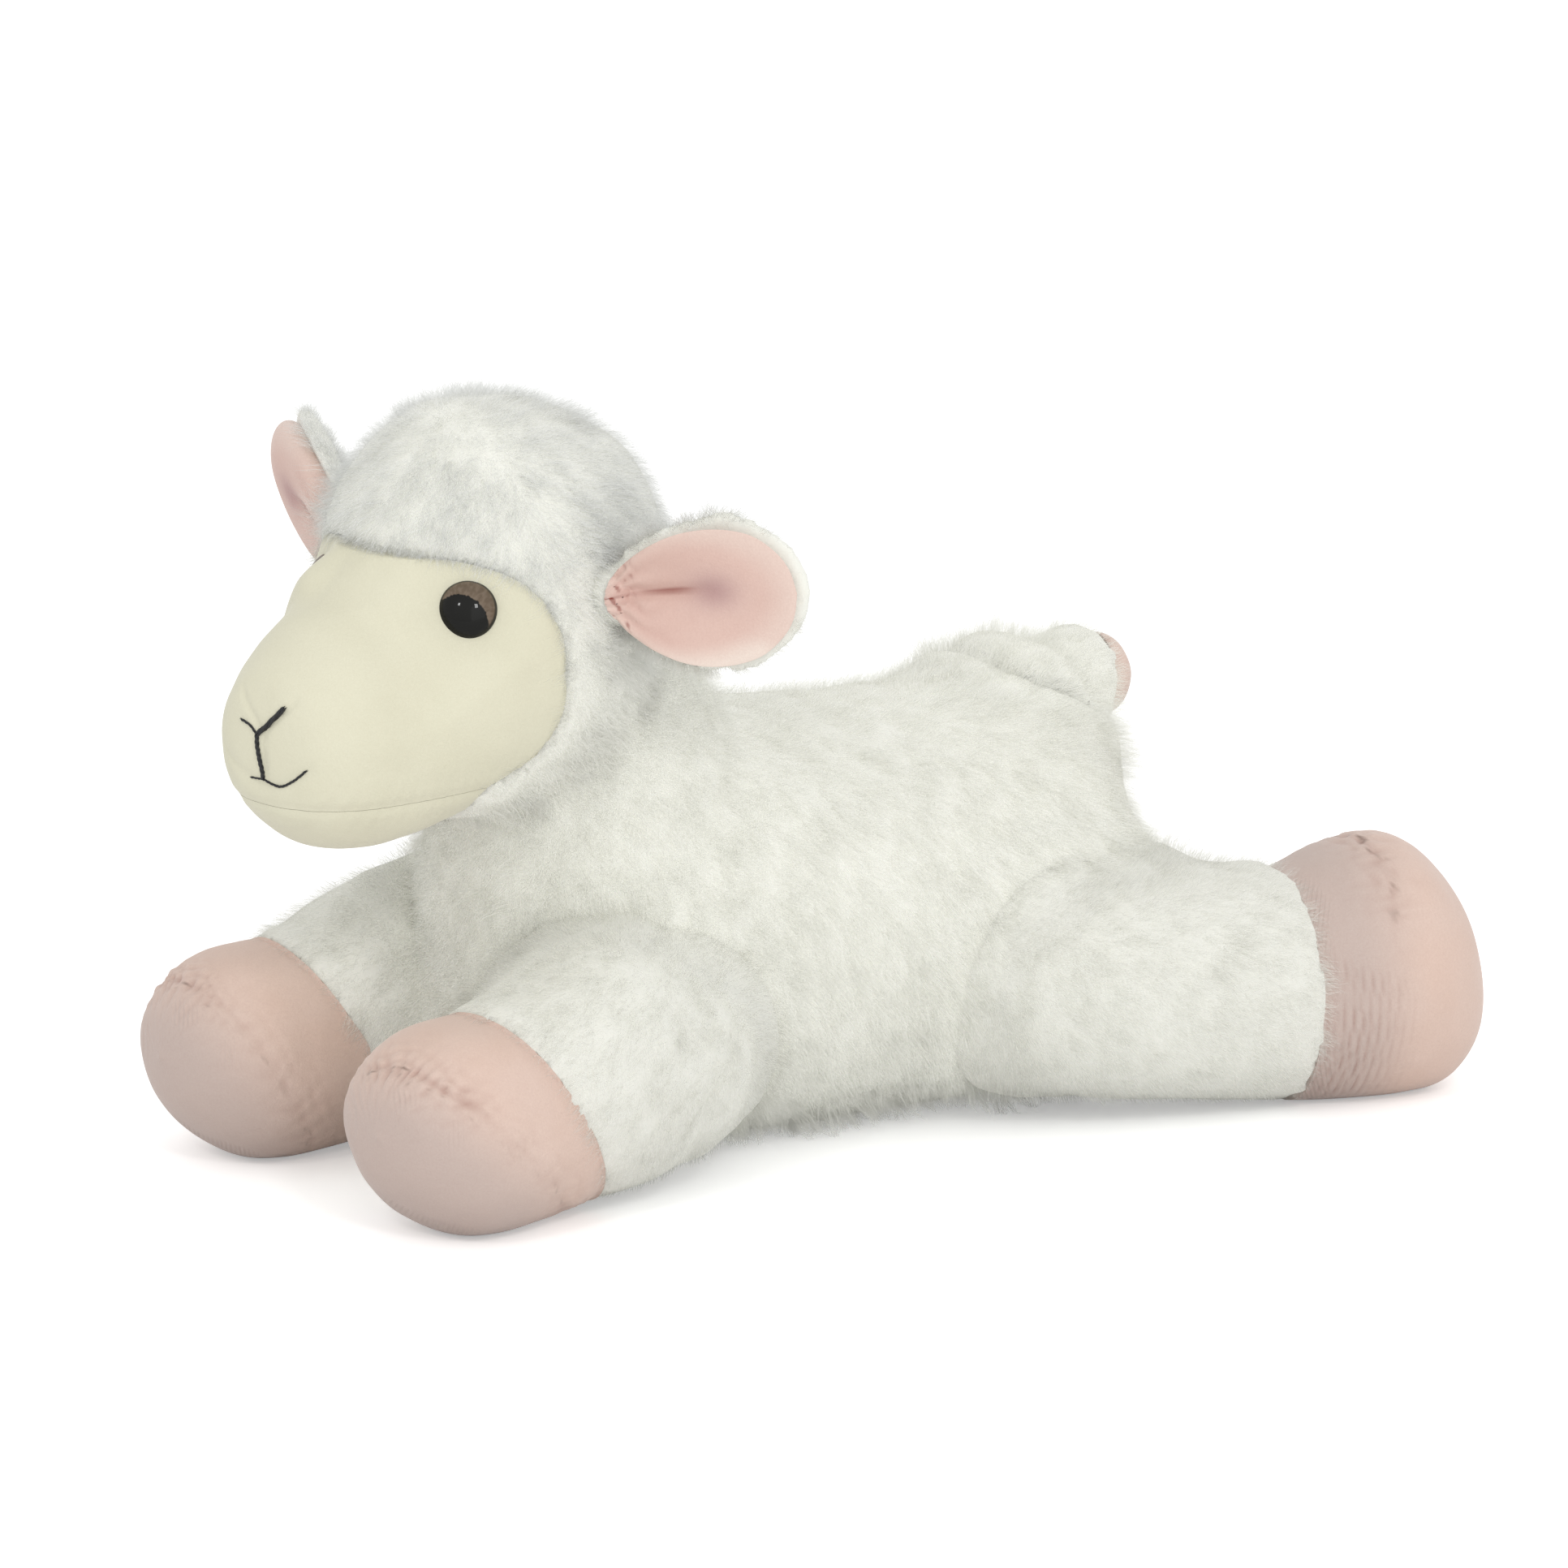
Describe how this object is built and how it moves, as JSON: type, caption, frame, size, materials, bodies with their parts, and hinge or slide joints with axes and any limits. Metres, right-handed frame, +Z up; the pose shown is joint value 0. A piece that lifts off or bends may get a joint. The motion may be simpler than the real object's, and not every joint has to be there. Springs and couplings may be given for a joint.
{
  "type": "plush lamb",
  "caption": "Lying plush lamb: pile fabric bags stuffed with fibre, floppy legs with smooth hooves, turning head, lined ears, safety eyes and an embroidered nose.",
  "frame": {"origin": "on the ground under the middle of the body, on the belly's resting face", "axes": "+X towards the tail, so the face looks along -X; +Y towards the lamb's right side; +Z up"},
  "size_m": [0.2089, 0.1334, 0.1216],
  "materials": {
    "wool_pile": "fluffy curled white pile on knitted backing",
    "face_velour": "smooth cream short pile",
    "pink_velour": "smooth pale pink short pile",
    "ear_velour": "smooth pink short pile",
    "eye_gloss": "clear gloss over brown and black",
    "washer_plastic": "plain moulded",
    "black_thread": "twisted embroidery thread",
    "polyester_fibre": "loose white fibre",
    "bead_cloth": "plain woven cloth bag of plastic beads"
  },
  "bodies": {
    "torso": {"body_cover": "wool_pile", "body_filling": "polyester_fibre", "belly_bead_bag": "bead_cloth"},
    "head": {"hood_cover": "wool_pile", "face_panel": "face_velour", "chin_panel": "face_velour", "head_filling": "polyester_fibre", "eye_left": "eye_gloss", "eye_right": "eye_gloss", "eye_washer_left": "washer_plastic", "eye_washer_right": "washer_plastic", "nose_stitch": "black_thread", "mouth_stitch": "black_thread"},
    "ear_left": {"ear_back_left": "wool_pile", "ear_lining_left": "ear_velour"},
    "ear_right": {"ear_back_right": "wool_pile", "ear_lining_right": "ear_velour"},
    "tail": {"tail_cover": "wool_pile", "tail_lining": "pink_velour"},
    "front_leg_left": {"front_leg_sleeve_left": "wool_pile", "front_hoof_left": "pink_velour", "front_leg_stuffing_left": "polyester_fibre"},
    "front_leg_right": {"front_leg_sleeve_right": "wool_pile", "front_hoof_right": "pink_velour", "front_leg_stuffing_right": "polyester_fibre"},
    "rear_leg_left": {"rear_leg_sleeve_left": "wool_pile", "rear_hoof_left": "pink_velour", "rear_leg_stuffing_left": "polyester_fibre"},
    "rear_leg_right": {"rear_leg_sleeve_right": "wool_pile", "rear_hoof_right": "pink_velour", "rear_leg_stuffing_right": "polyester_fibre"}
  },
  "joints": [
    {"name": "head_turn", "type": "hinge", "parent": "torso", "child": "head", "pos_m": [-0.041, 0, 0.06], "axis": [0, 0, 1], "range_deg": [-37, 13], "stiffness_Nm_per_rad": 0.15},
    {"name": "ear_left_flap", "type": "hinge", "parent": "head", "child": "ear_left", "pos_m": [-0.05473, -0.0287, 0.0958], "axis": [0, 0, 1], "range_deg": [-25, 25], "stiffness_Nm_per_rad": 0.002},
    {"name": "ear_right_flap", "type": "hinge", "parent": "head", "child": "ear_right", "pos_m": [-0.06522, 0.02064, 0.0958], "axis": [0, 0, 1], "range_deg": [-25, 25], "stiffness_Nm_per_rad": 0.002},
    {"name": "tail_lift", "type": "hinge", "parent": "torso", "child": "tail", "pos_m": [0.042, 0, 0.059], "axis": [0, -1, 0], "range_deg": [-20, 20], "stiffness_Nm_per_rad": 0.004},
    {"name": "front_leg_left_lift", "type": "hinge", "parent": "torso", "child": "front_leg_left", "pos_m": [-0.045, -0.025, 0.0205], "axis": [-0.0872, 0.9962, 0], "range_deg": [-12, 20]},
    {"name": "front_leg_right_lift", "type": "hinge", "parent": "torso", "child": "front_leg_right", "pos_m": [-0.045, 0.025, 0.0205], "axis": [0.0872, 0.9962, 0], "range_deg": [-12, 20]},
    {"name": "rear_leg_left_lift", "type": "hinge", "parent": "torso", "child": "rear_leg_left", "pos_m": [0.03, -0.027, 0.0215], "axis": [-0.2079, -0.9781, 0], "range_deg": [-12, 20]},
    {"name": "rear_leg_right_lift", "type": "hinge", "parent": "torso", "child": "rear_leg_right", "pos_m": [0.03, 0.027, 0.0215], "axis": [0.5878, -0.809, 0], "range_deg": [-12, 20]}
  ]
}
